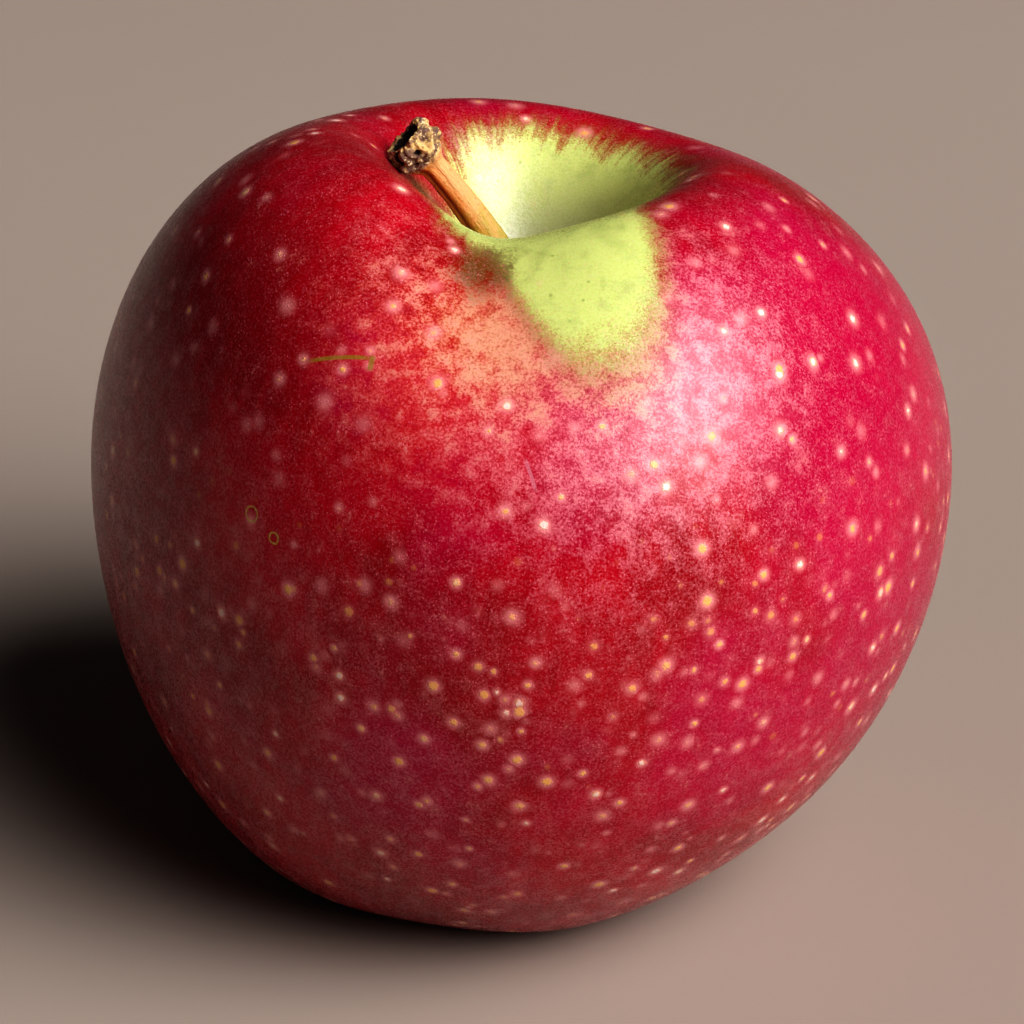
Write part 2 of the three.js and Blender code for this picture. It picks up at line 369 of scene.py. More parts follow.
# Where each layer comes in: from one level to another, and its cover at both. "South" is the share of the
# way from the stem's end to the calyx.
skinSteps = dict(
    bright=(0.52, 0.86), pinker=(0.42, 0.68, 0.0, 0.85), pinkerSouth=(0.75, 0.5, 0.25, 1.0),
    brown=(0.5, 0.72), brownSouth=(0.5, 0.75, 0.1, 0.45),
    orange=(0.15, 1.2, 0.0, 0.8), thin=(0.2, 1.2, 0.0, 0.75), salmonAndPaintedHighlight=(0.25, 1.1, 0.0, 0.7),
    leaf=(0.45, 0.75, 0.0, 0.8), pale=(0.0, 4.5, 0.0, 0.9), raggedness=(0.0, 0.6, 2.9, 0.6),
    green=(-1.3, 0.3), brownEdgeIn=(-2.4, -0.8), brownEdgeOut=(0.6, -0.4),
    olive=(0.2, 1.0, 0.0, 0.85), russet=(0.3, 0.6, 0.4, 0.95),
    farSouth=(0.60, 0.48), nearSouth=(0.36, 0.54), whiteHeart=(0.5, 0.8), red=(1.0, -1.0, 0.2, 1.0),
    cell=(0.5, 0.12), drift=(0.3, 1.15, 0.0, 0.55), cellOnGreen=(-1.0, 1.0, 1.0, 0.35),
    shade=(0.45, 0.25, 0.0, 0.35), light=(0.5, 0.8), pore=(0.13, 0.05), poreOnGreen=(0.5, 1.5),
    wax=(0.41, 0.62, 0.05, 0.8), gloss=(0.3, 0.7),
)

# How much of one pattern goes into another.
skinShares = dict(
    streakInRed=0.35, eastInPink=0.005, mottleInBlush=1.3, grainInBlush=0.45, mottleInThin=1.9,
    tongueInPale=9.0, mottleInEdge=2.0, fineInEdge=2.4, brownEdge=0.45, mottleInStain=1.2, grainInStain=1.1,
    mottleInDrift=1.5, haloInDrift=0.55, thinInDrift=0.4, light=0.26, haloFade=2.0, halo=0.85, heart=0.85,
    pore=0.6, mottleInWax=0.9, fineInHeight=0.4, mottleInHeight=1.2, cellInHeight=0.6, heartInHeight=0.8,
)

# Small marks on the skin: where they are, how far they are turned, and half of their length and width.
skinMarks = dict(
    scar=dict(at=(-120, 52.1), turn=31, half=(3.3, 0.09), color=srgb(140, 112, 34)),
    scarHook=dict(at=(-114.5, 50.6), turn=-72, half=(0.8, 0.12), color=srgb(140, 112, 34)),
    scratch=dict(at=(-88.5, 61.2), turn=-72, half=(1.7, 0.08), color=srgb(190, 110, 124)),
    ringOne=dict(at=(-129.6, 74.6), ring=0.5, color=srgb(190, 172, 84)),
    ringTwo=dict(at=(-125.2, 76.2), ring=0.33, color=srgb(190, 172, 84)),
)
markShape = dict(
    depth=(3.0, 2.0), ringWobble=0.3, ringGrowth=0.15, ringEdge=(0.13, 0.03, 0.0, 0.75),
    bow=0.02, taper=0.55, lineEdge=(2.6, 1.2), lineCover=0.8,
)


def markCoordinates(nodes, spot, mark):
    # Turns the skin's coordinates so that X runs along the mark, Y across it and Z out of the skin.
    point, east, north, out = place(*mark["at"])
    turn = Matrix.Rotation(np.radians(mark.get("turn", 0)), 3, "Z")
    turned = Matrix((east, north, out)).transposed() @ turn
    inputs = {"Vector": spot, "Location": tuple(point), "Rotation": tuple(turned.to_euler())}
    mapping = nodes.add("ShaderNodeMapping", inputs, vector_type="TEXTURE")
    return nodes.add("ShaderNodeSeparateXYZ", {0: mapping}).outputs


def paintMark(nodes, color, spot, mark, wobble):
    # A ring is where the distance from its middle is near its radius. A line is where Y is small, with a
    # slight bow, and it tapers off as X comes near its half length.
    x, y, z = markCoordinates(nodes, spot, mark)
    near = nodes.span(nodes.math("ABSOLUTE", z), *markShape["depth"])
    if "ring" in mark:
        away = nodes.math("POWER", nodes.math("ADD", nodes.times(x, x), nodes.times(y, y)), 0.5)
        away = nodes.plus(away, wobble, markShape["ringWobble"])
        off = nodes.math("ABSOLUTE", nodes.math("SUBTRACT", away, mark["ring"] + markShape["ringGrowth"]))
        cover = nodes.span(off, *markShape["ringEdge"])
    else:
        length, width = mark["half"]
        y = nodes.plus(y, nodes.times(x, x), markShape["bow"])
        taper = nodes.span(nodes.math("ABSOLUTE", x), length, length * markShape["taper"])
        across = nodes.plus(nodes.math("ABSOLUTE", y), wobble, width)
        outer, inner = markShape["lineEdge"]
        line = nodes.span(across, width * outer, width * inner, 0.0, markShape["lineCover"])
        cover = nodes.times(line, taper)
    return nodes.mix(nodes.times(cover, near), color, mark["color"])


def dotLayer(nodes, spot, grain, dots, weight):
    # Dots are the parts of scattered points' surroundings that the skin cuts through, so their sizes vary.
    distance, chance = nodes.cells(spot, 1 / dots["spacing"])
    distance = nodes.shaken(nodes.times(distance, dots["spacing"]), grain, skinLook["dotRoughness"])
    size = nodes.span(chance[0], 0.0, 1.0, *skinLook["dotSizes"], smooth=False)
    relative = nodes.math("DIVIDE", distance, size)
    halo = nodes.times(nodes.span(relative, dots["halo"], 0.0), weight)
    core = nodes.span(relative, dots["core"], dots["core"] * skinLook["heartFull"])
    return halo, nodes.times(core, weight), chance[1]


def skinMaterial(look, steps, shares):
    nodes = Nodes("apple_skin")
    spot = nodes.millimetres()
    along, south = nodes.attribute("meridian", "Vector"), nodes.attribute("southward")
    ground, tongue, thin = nodes.attribute("ground"), nodes.attribute("tongue"), nodes.attribute("thin")
    cloud, brownCloud = nodes.noise(spot, *skinNoise["cloud"]), nodes.noise(spot, *skinNoise["brownCloud"])
    elsewhere = nodes.add("ShaderNodeVectorMath", {0: spot, 1: skinNoise["pinkCloudShift"]})
    pinkCloud = nodes.noise(elsewhere, *skinNoise["pinkCloud"])
    streak, mottle = nodes.noise(along, *skinNoise["streak"]), nodes.noise(spot, *skinNoise["mottle"])
    grain, fine = nodes.noise(spot, *skinNoise["grain"]), nodes.noise(spot, *skinNoise["fine"])

    # Clouds of a few shades of red, with faint streaks from end to end, pinker to the right and above.
    tone = nodes.plus(cloud, streak, shares["streakInRed"])
    red = nodes.mix(nodes.span(tone, *steps["bright"]), look["deepRed"], look["brightRed"])
    east = nodes.add("ShaderNodeSeparateXYZ", {0: spot}).outputs["X"]
    pinker = nodes.span(nodes.plus(pinkCloud, east, shares["eastInPink"]), *steps["pinker"])
    pinker = nodes.times(pinker, nodes.span(south, *steps["pinkerSouth"]))
    red = nodes.mix(pinker, red, look["crimson"])
    brown = nodes.times(nodes.span(brownCloud, *steps["brown"]), nodes.span(south, *steps["brownSouth"]))
    red = nodes.mix(brown, red, look["brownRed"])

    # Zones where the red thins out to orange, to a milky pink and to salmon. The milky pink and the salmon
    # are partly painted highlight, a pale sheen laid into the colour round the tongue's tip.
    blush = nodes.shaken(nodes.attribute("warm"), mottle, shares["mottleInBlush"])
    blush = nodes.shaken(blush, grain, shares["grainInBlush"])
    red = nodes.mix(nodes.span(blush, *steps["orange"]), red, look["orange"])
    rough = nodes.shaken(nodes.centred(grain), mottle, shares["mottleInThin"])
    # Milky pink: partly thin skin and partly painted highlight.
    red = nodes.mix(nodes.span(nodes.math("ADD", thin, rough), *steps["thin"]), red, look["thinRed"])
    # Salmon along the lip by the tongue and round its tip: partly ground colour and partly painted highlight.
    pinkYellow = nodes.math("MAXIMUM", nodes.attribute("rim"), nodes.attribute("salmonAndPaintedHighlight"))
    red = nodes.mix(nodes.span(nodes.math("ADD", rough, pinkYellow), *steps["salmonAndPaintedHighlight"]), red, look["salmonAndPaintedHighlight"])

    # The green patch, paler down the cavity. Its edge is ragged along the streaks, and brownish on the red.
    green = nodes.mix(nodes.span(mottle, *steps["leaf"]), look["tongueGreen"], look["leafGreen"])
    down = nodes.math("SUBTRACT", ground, nodes.times(tongue, shares["tongueInPale"]))
    green = nodes.mix(nodes.span(down, *steps["pale"]), green, look["paleGreen"])
    lines = nodes.times(nodes.centred(streak), nodes.span(tongue, *steps["raggedness"]))
    edge = nodes.shaken(nodes.math("ADD", lines, ground), mottle, shares["mottleInEdge"])
    edge = nodes.shaken(edge, fine, shares["fineInEdge"])
    color = nodes.mix(nodes.span(edge, *steps["green"]), red, green)
    brownEdge = nodes.times(nodes.span(edge, *steps["brownEdgeIn"]), nodes.span(edge, *steps["brownEdgeOut"]))
    color = nodes.mix(nodes.times(brownEdge, shares["brownEdge"]), color, look["rimBrown"])

    # The olive blotch on the left of the tongue, and russet in the calyx basin.
    stain = nodes.shaken(nodes.attribute("blotch"), mottle, shares["mottleInStain"])
    stain = nodes.shaken(stain, grain, shares["grainInStain"])
    color = nodes.mix(nodes.span(stain, *steps["olive"]), color, look["olive"])
    russet = nodes.times(nodes.attribute("eye"), nodes.span(mottle, *steps["russet"]))
    color = nodes.mix(russet, color, look["russet"])

    # Lenticels: dots with a yellow or white heart in a loose ring of pale cells. They are sparse and large
    # by the stem, close and small by the calyx, and faint on the green.
    farWeight, nearWeight = nodes.span(south, *steps["farSouth"]), nodes.span(south, *steps["nearSouth"])
    haloFar, coreFar, kindFar = dotLayer(nodes, spot, grain, look["farDots"], farWeight)
    haloNear, coreNear, kindNear = dotLayer(nodes, spot, grain, look["nearDots"], nearWeight)
    whiteness = nodes.math("MAXIMUM", nodes.times(kindFar, coreFar), nodes.times(kindNear, coreNear))
    heart = nodes.mix(nodes.span(whiteness, *steps["whiteHeart"]), look["core"], look["coreWhite"])
    onRed = nodes.span(edge, *steps["red"])
    halo = nodes.times(nodes.math("MAXIMUM", haloFar, haloNear), onRed)
    core = nodes.times(nodes.math("MAXIMUM", coreFar, coreNear), onRed)

    # Single pale cells: a fine scatter of dots of many strengths, in drifts and thick round the lenticels,
    # and thicker still in the milky pink zone, where they are partly painted highlight specks.
    shakeScale, shakeReach = skinNoise["cellShake"]
    shake = nodes.scaled(nodes.noiseColor(spot, shakeScale), shakeReach)
    away, chance = nodes.cells(nodes.add("ShaderNodeVectorMath", {0: spot, 1: shake}), skinNoise["cells"])
    drift = nodes.shaken(chance[0], mottle, shares["mottleInDrift"])
    drift = nodes.plus(drift, halo, shares["haloInDrift"])
    drift = nodes.plus(drift, thin, shares["thinInDrift"])
    pale = nodes.times(nodes.span(away, *steps["cell"]), nodes.span(drift, *steps["drift"]))
    pale = nodes.times(pale, nodes.span(edge, *steps["cellOnGreen"]))
    shade = nodes.times(nodes.span(grain, *steps["shade"]), onRed)
    light = nodes.times(nodes.span(grain, *steps["light"]), nodes.times(onRed, shares["light"]))
    color = nodes.mix(shade, color, look["deepRed"], "MULTIPLY")
    color = nodes.mix(light, color, look["speckle"])
    color = nodes.mix(pale, color, look["speckle"])
    softHalo = nodes.times(nodes.math("POWER", halo, shares["haloFade"]), shares["halo"])
    color = nodes.mix(softHalo, color, look["halo"])
    color = nodes.mix(nodes.times(core, shares["heart"]), color, heart)

    # Tiny sunken pores, which show on the green, and then the scars.
    away, chance = nodes.cells(spot, skinNoise["pores"])
    pore = nodes.times(nodes.span(away, *steps["pore"]), nodes.span(edge, *steps["poreOnGreen"]))
    color = nodes.mix(nodes.times(pore, shares["pore"]), color, look["poreGreen"])
    for mark in skinMarks.values():
        color = paintMark(nodes, color, spot, mark, nodes.centred(grain))

    # The wax lies in grains and drifts, so the broad sheen breaks up into specks.
    wax = nodes.span(nodes.shaken(grain, mottle, shares["mottleInWax"]), *steps["wax"])
    nodes.feed(nodes.shader.inputs["Coat Weight"], wax)
    height = nodes.plus(nodes.times(mottle, shares["mottleInHeight"]), fine, shares["fineInHeight"])
    height = nodes.plus(height, pale, shares["cellInHeight"])
    height = nodes.plus(height, core, shares["heartInHeight"])
    return nodes.finish(
        color, nodes.span(grain, *steps["gloss"], *look["gloss"]), nodes.bump(height, look["bumpDepth"] * mm),
        IOR=look["indexOfRefraction"], Specular_IOR_Level=look["specularLevel"],
        Coat_Roughness=look["waxRoughness"], Coat_IOR=look["waxIndexOfRefraction"],
    )


fruit.data.materials.append(skinMaterial(skinLook, skinSteps, skinShares))
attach(fruit, "root")
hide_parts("fruit")
print("skin done")


# The stem follows a bend with one control point. Rows run up its side, round the rim of its broken head
# and in over the head's end. Lengths are millimetres, or shares of the stem. Angles round it are degrees:
# 0 is to its right, -90 to the front.
stemShape = dict(
    sink=0.5, footLift=1.4, rise=18.5, lean=(-11.75, -0.4), bend=(0.35, 0.6),
    baseRadius=1.75, shaftRadius=1.14, flareEnd=0.42, headRadius=2.28, headStart=0.76, headFull=0.87,
    sideRows=0.74, sideEase=0.9, footSlope=1.6, footRows=0.02,
    ridges=((3, 0.035, 20, 1.2), (5, 0.03, -70, -2.0), (8, 0.022, 10, 2.6)),     # count, share, angle, twist
    groove=(-128, 0.15, 15), grooveTwo=(-40, 0.06, 12), grooveTwist=14,
    crater=0.9, craterEdge=(0.42, 0.8), dome=1.15, tuck=0.905, headCalm=0.6, endCalm=0.5, shaftRough=0.06,
    bumps=((0.19, 1.7, 3), (0.085, 0.62, 5), (0.05, 0.3, 9)),                    # height, size, seed
    pits=(((0.90, -128), 0.42, 0.7), ((0.885, -75), 0.3, 0.5), ((0.84, -100), 0.26, 0.4),
          ((0.93, -95), 0.24, 0.4), ((0.86, -30), 0.3, 0.35), ((0.9, 100), 0.5, 0.6)),
    knobs=(((0.95, 176), 0.42, 1.0), ((0.845, -28), 0.45, 0.45)),                # place, size, height
    # Painted shade on the head: the pit depth that turns fully dark, the part of the end that darkens into
    # its crater, and how much raised knobs lift it.
    pitPaintedShade=0.5, endPaintedShade=(0.45, 0.7), knobShadeLift=0.8, rows=260, columns=150,
)


def stemPath(share):
    # A bend: the weighted mean of foot, control point and top, with weights (1-t)^2, 2t(1-t) and t^2.
    shape = stemShape
    offset = np.array(fruitShape["cavityOffset"])
    fromStem = np.arcsin(np.hypot(*offset) / fruitShape["radius"])
    foot = fruitSurface(np.arctan2(offset[1], offset[0]), fromStem) + toFrame + (0, 0, shape["footLift"])
    across, up = shape["bend"]
    top = foot + (*shape["lean"], shape["rise"])
    knee = foot + (shape["lean"][0] * across, shape["lean"][1] * across, shape["rise"] * up)
    way = share[..., None]
    point = (1 - way) ** 2 * foot + 2 * way * (1 - way) * knee + way**2 * top
    tangent = 2 * (1 - way) * (knee - foot) + 2 * way * (top - knee)
    return point, tangent / np.linalg.norm(tangent, axis=-1, keepdims=True)


def stemRound(share, around, radius):
    # The point at a radius from the path: across and depth are the two directions square to the path.
    point, tangent = stemPath(share)
    depth = np.array([0.0, 1.0, 0.0]) - tangent * tangent[..., 1:2]
    depth /= np.linalg.norm(depth, axis=-1, keepdims=True)
    across = np.cross(depth, tangent)
    out = across * np.cos(around)[..., None] + depth * np.sin(around)[..., None]
    return point + out * radius[..., None], out, tangent


def headSpot(spine, at, size):
    # 1 at a place on the head, falling away as the exponent of the distance squared.
    share, turn = np.array(at[0]), np.array(np.radians(at[1]))
    centre = stemRound(share, turn, np.array(stemShape["headRadius"]))[0]
    return np.exp(-((np.linalg.norm(spine - centre, axis=-1) / size) ** 2))


def stemSurface():
    # Radius = shaft + flare at the foot + head, times ridges and grooves, plus lumps and pits on the head.
    # The head's end is a dome with a shallow crater, closed over a quarter turn.
    shape = stemShape
    turns = np.linspace(0, 2 * np.pi, shape["columns"], endpoint=False)
    around, row = np.meshgrid(turns, np.linspace(0, 1, shape["rows"]))
    side = np.clip(row / shape["sideRows"], 0, 1)
    inward = np.clip((row - shape["sideRows"]) / (1 - shape["sideRows"]), 0, 1)
    start = shape["sink"] / shape["rise"] * shape["footSlope"]
    share = -start + (shape["tuck"] + start) * side ** shape["sideEase"]
    head = smoothStep(shape["headStart"], shape["headFull"], share)
    flare = np.exp(-((share / shape["flareEnd"]) ** 2))
    radius = shape["shaftRadius"] + (shape["baseRadius"] - shape["shaftRadius"]) * flare
    radius = radius + (shape["headRadius"] - shape["shaftRadius"]) * head
    fluting = sum(
        size * np.cos(count * (around - np.radians(at)) + twist * share)
        for count, size, at, twist in shape["ridges"]
    )
    for at, deep, width in (shape["groove"], shape["grooveTwo"]):
        fluting = fluting - deep * bell(np.degrees(around), at + shape["grooveTwist"] * share, width)
    closing = np.cos(inward * np.pi / 2) * (1 - np.clip(1 - row / shape["footRows"], 0, 1) ** 2) ** 0.5
    fluted = radius * (1 + fluting * (1 - shape["headCalm"] * head))
    spine, out, tangent = stemRound(share, around, fluted * closing)
    tilt = (inward * np.pi / 2)[..., None]
    normal = out * np.cos(tilt) + tangent * np.sin(tilt)
    cap = shape["dome"] * np.sin(inward * np.pi / 2)
    cap = cap - shape["crater"] * smoothStep(*shape["craterEdge"], inward)
    points = spine + tangent * cap[..., None]
    rough = sum(tall * waves(spine, size, seed) for tall, size, seed in shape["bumps"])
    height = rough * np.maximum(head, shape["shaftRough"]) * (1 - shape["endCalm"] * inward)
    pit = np.zeros_like(height)
    for at, size, deep in shape["pits"]:
        pit = np.maximum(pit, deep * headSpot(spine, at, size))
    for at, size, tall in shape["knobs"]:
        height = height + tall * headSpot(spine, at, size)
    points = points + normal * (height - pit)[..., None]
    # Painted shade: dark by the depth of each pit and towards the crater in the head's end, less on the
    # raised knobs.
    raised = np.clip(height, -1, 1) * shape["knobShadeLift"] * head
    paintedHollowShade = np.clip(pit / shape["pitPaintedShade"] + smoothStep(*shape["endPaintedShade"], inward) - raised, -1, 2)
    return points, share, around, head, paintedHollowShade


barkLook = dict(
    # Bark colours: the first is painted shade on the side away from the key light, and also the darker
    # patches in the grain; the third is painted light on the side towards it.
    shadeBark=srgb(128, 74, 26), middleBark=srgb(190, 112, 46), paintedLitBark=srgb(214, 160, 108),
    green=srgb(150, 148, 48), crust=srgb(206, 170, 112), pale=srgb(226, 200, 158), crumble=srgb(112, 84, 72),
    # The near black below is painted shade for the head's pits and hollow end.
    dark=srgb(26, 16, 12), grooveRed=srgb(96, 22, 14),
    # The angle below is where the painted light on the bark faces, towards the key light.
    paintedLightAt=-20, grooveWidth=9, fibreRound=1.1, fibreLength=3.0,
    fibre=(3.2, 3.0, 0.6), grain=(4.0, 3.0, 0.6), patch=(0.9, 2.0), crumbs=(2.1, 2.0),       # noises
    bumpDepth=0.09, fibreInHeight=1.4, gloss=(0.5, 0.85), specularLevel=0.35,
)
barkSteps = dict(
    middle=(-0.9, 0.1), light=(0.1, 0.95), green=(0.62, 0.3, 0.0, 0.8), shade=(0.56, 0.7, 0.0, 0.5),
    crumble=(0.42, 0.6), pale=(0.52, 0.66), crumbs=(0.5, 0.62, 0.0, 0.75), dark=(0.22, 0.62), head=(0.3, 0.6),
)
barkShares = dict(fibreInTone=1.6, patchInGreen=0.4, groove=0.85, grainInPaintedShade=0.9, grainInHead=0.8)

points, share, around, head, paintedHollowShade = stemSurface()
stem = closedGrid("stem_bark", points[::-1] * mm)
writeAttribute(stem, "share", share[::-1])
writeAttribute(stem, "head", head[::-1])
writeAttribute(stem, "paintedHollowShade", paintedHollowShade[::-1])
# Painted light and shade round the stem: 1 on the side that faces the key light, -1 on the side away from it.
writeAttribute(stem, "paintedLitSide", np.cos(around - np.radians(barkLook["paintedLightAt"]))[::-1])
grooveAt = stemShape["groove"][0] + stemShape["grooveTwist"] * share
grooveLine = bell(np.degrees(around), grooveAt, barkLook["grooveWidth"])
writeAttribute(stem, "groove", (grooveLine * (1 - head))[::-1])
fibre = [barkLook["fibreRound"] * np.cos(around), barkLook["fibreRound"] * np.sin(around)]
writeAttribute(stem, "fibre", np.stack([*fibre, share * barkLook["fibreLength"]], -1)[::-1])


def stemMaterial(look, steps, shares):
    nodes = Nodes("stem_bark")
    spot = nodes.millimetres()
    share, head, paintedHollowShade = nodes.attribute("share"), nodes.attribute("head"), nodes.attribute("paintedHollowShade")
    fibre = nodes.noise(nodes.attribute("fibre", "Vector"), *look["fibre"])
    grain, patch = nodes.noise(spot, *look["grain"]), nodes.noise(spot, *look["patch"])

    # Smooth bark with painted light on the side that faces the key light and painted shade on the far side,
    # greener at the foot and dark red in its groove.
    tone = nodes.shaken(nodes.attribute("paintedLitSide"), fibre, shares["fibreInTone"])
    bark = nodes.mix(nodes.span(tone, *steps["middle"]), look["shadeBark"], look["middleBark"])
    bark = nodes.mix(nodes.span(tone, *steps["light"]), bark, look["paintedLitBark"])
    upward = nodes.shaken(share, patch, shares["patchInGreen"])
    bark = nodes.mix(nodes.span(upward, *steps["green"]), bark, look["green"])
    bark = nodes.mix(nodes.span(grain, *steps["shade"]), bark, look["shadeBark"])
    bark = nodes.mix(nodes.times(nodes.attribute("groove"), shares["groove"]), bark, look["grooveRed"])

    # Corky crust and crumbs on the broken head, with painted shade in the pits and in the hollow of its end.
    crust = nodes.mix(nodes.span(patch, *steps["crumble"]), look["crust"], look["crumble"])
    crust = nodes.mix(nodes.span(grain, *steps["pale"]), crust, look["pale"])
    crumbs = nodes.span(nodes.noise(spot, *look["crumbs"]), *steps["crumbs"])
    crust = nodes.mix(crumbs, crust, look["crumble"])
    # Painted shade, near black, in the pits and in the end's hollow.
    dark = nodes.span(nodes.shaken(paintedHollowShade, grain, shares["grainInPaintedShade"]), *steps["dark"])
    crust = nodes.mix(dark, crust, look["dark"])
    edge = nodes.shaken(head, grain, shares["grainInHead"])
    color = nodes.mix(nodes.span(edge, *steps["head"]), bark, crust)
    height = nodes.plus(grain, fibre, look["fibreInHeight"])
    return nodes.finish(
        color, nodes.span(head, 0.0, 1.0, *look["gloss"]), nodes.bump(height, look["bumpDepth"] * mm),
        Specular_IOR_Level=look["specularLevel"],
    )


stem.data.materials.append(stemMaterial(barkLook, barkSteps, barkShares))
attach(stem, "root")
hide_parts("stem")
print("stem done")

# Sepals hang round the basin and curl out at their tips. Lengths are millimetres, along and across each.
sepalShape = dict(
    count=5, ring=3.6, waist=1.0, tipRing=4.2, length=4.8, width=3.4, thick=0.42, firstAt=-70,
    narrowing=0.7, neck=(0.6, 1.6), cupping=0.12, ribs=0.12, ribsPerLength=4.2, ribShare=0.6,
    crinkle=0.16, crinkleSize=2.0, crinkleWaves=16, crinkleSeed=20, crinkleStretch=5, crinkleShift=9,
    crinkleAtFoot=0.3, sunk=0.09, rows=70, columns=64,
)
sepalLook = dict(
    brown=srgb(96, 70, 44), grey=srgb(142, 122, 94), dark=srgb(48, 32, 22), olive=srgb(112, 104, 58),
    vein=(2.4, 3.0, 0.6), grain=(5.0, 3.0, 0.65), patch=(0.8, 2.0), patternShift=7,
    brownStep=(0.38, 0.62), oliveStep=(0.45, 0.62, 0.0, 0.6), greyStep=(0.52, 0.68, 0.0, 0.8),
    tipStep=(1.0, 1.4, 0.0, 0.7), grainAtTip=0.5,
    bumpDepth=0.12, veinInHeight=1.6, roughness=0.85, specularLevel=0.25, sheen=0.25,
)


def basinFloor(distance, azimuth):
    # The basin's floor at a distance from the fruit's own axis.
    return fruitSurface(azimuth, np.pi - np.arcsin(distance / fruitShape["radius"]))[2] + toFrame[2]


def basinAxis(height):
    # The point at a height on the axis of the fruit's lower end.
    return np.array([*fruitShape["baseLean"], 0]) + (toFrame[0], toFrame[1], height)


def sepalSurface(index):
    # A lens-shaped section round a bent rib: width = full * (1-t)^0.7, thickness falls off by the root of
    # the sine round the section's ends, and both flutes and crinkles ride on the two broad faces.
    shape = sepalShape
    azimuth = index / shape["count"] * 2 * np.pi + np.radians(shape["firstAt"])
    around, down = polarGrid(shape["rows"], shape["columns"])
    along = (1 - np.cos(down)) / 2
    foot, tip = np.array([shape["ring"], 0, 0]), np.array([shape["tipRing"], 0, -shape["length"]])
    waist = np.array([shape["waist"], 0, -shape["length"] / 2])
    way = along[..., None]
    point = (1 - way) ** 2 * foot + 2 * way * (1 - way) * waist + way**2 * tip
    tangent = 2 * (1 - way) * (waist - foot) + 2 * way * (tip - waist)
    tangent /= np.linalg.norm(tangent, axis=-1, keepdims=True)
    end = np.sqrt(np.abs(np.sin(down)))
    neck = np.minimum(1, shape["neck"][0] + shape["neck"][1] * along)
    across = shape["width"] / 2 * (1 - along) ** shape["narrowing"] * neck * end * np.sin(around)
    flutes = shape["ribs"] * np.cos(across * shape["ribsPerLength"] + index) * end
    thick = shape["thick"] / 2 * end * np.cos(around) - shape["cupping"] * across**2
    thick = thick + flutes * shape["ribShare"]
    pattern = [along * shape["crinkleStretch"] + index * shape["crinkleShift"], across, along * 0]
    seed = shape["crinkleSeed"] + index
    crinkle = waves(np.stack(pattern, -1), shape["crinkleSize"], seed, shape["crinkleWaves"])
    crinkle = shape["crinkle"] * crinkle * (shape["crinkleAtFoot"] + along)
    outward = point[..., 0] - tangent[..., 2] * thick + crinkle * end
    upward = point[..., 2] + tangent[..., 0] * thick
    x = outward * np.cos(azimuth) - across * np.sin(azimuth)
    y = outward * np.sin(azimuth) + across * np.cos(azimuth)
    floor = basinFloor(shape["ring"] + shape["thick"], azimuth)
    return np.stack([x, y, upward], -1) + basinAxis(floor - shape["sunk"]), along, across


def sepalMaterial(look):
    nodes = Nodes("dried_leaf")
    spot, leaf = nodes.millimetres(), nodes.attribute("leaf", "Vector")
    vein, grain = nodes.noise(leaf, *look["vein"]), nodes.noise(spot, *look["grain"])
    color = nodes.mix(nodes.span(vein, *look["brownStep"]), look["dark"], look["brown"])
    olive = nodes.span(nodes.noise(spot, *look["patch"]), *look["oliveStep"])
    color = nodes.mix(olive, color, look["olive"])
    color = nodes.mix(nodes.span(grain, *look["greyStep"]), color, look["grey"])
    along = nodes.add("ShaderNodeSeparateXYZ", {0: leaf}).outputs[2]
    tip = nodes.span(nodes.plus(along, grain, look["grainAtTip"]), *look["tipStep"])
    color = nodes.mix(tip, color, look["dark"])
    height = nodes.plus(grain, vein, look["veinInHeight"])
    return nodes.finish(
        color, look["roughness"], nodes.bump(height, look["bumpDepth"] * mm),
        Specular_IOR_Level=look["specularLevel"], Sheen_Weight=look["sheen"],
    )


leafMaterial = sepalMaterial(sepalLook)
for index in range(sepalShape["count"]):
    points, along, across = sepalSurface(index)
    sepal = closedGrid("dried_sepal_" + str(index + 1), points * mm)
    leaf = [across + index * sepalLook["patternShift"], across * 0, along]
    writeAttribute(sepal, "leaf", np.stack(leaf, -1))
    sepal.data.materials.append(leafMaterial)
    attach(sepal, "root")
    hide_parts("sepal_" + str(index + 1))
print("sepals done")

# The tuft of dried stamens: thin filaments that splay a little, each with a darker swollen end. They stand
# on a low boss on the basin's floor.
stamenShape = dict(
    count=15, seed=4, length=(2.9, 3.8), radius=0.13, headRadius=0.27, headAt=90, headLength=8, endRound=14,
    ring=1.04, turn=2.4, splay=0.5, splayCurve=1.6, splayRange=(0.4, 1.3), sway=0.5, gap=0.3,
    rows=30, columns=12, middle=0.01,
    bossRadius=1.35, bossHeight=0.8, bossWaves=(5, 0.06), bossRows=24, bossColumns=40,
)
stamenLook = dict(
    stalk=srgb(112, 84, 54), head=srgb(58, 40, 26), pale=srgb(168, 142, 104), grain=(6.0, 3.0, 0.6),
    headStep=(0.72, 0.86), paleStep=(0.5, 0.66, 0.0, 0.7), bumpDepth=0.08, roughness=0.85, specularLevel=0.25,
)


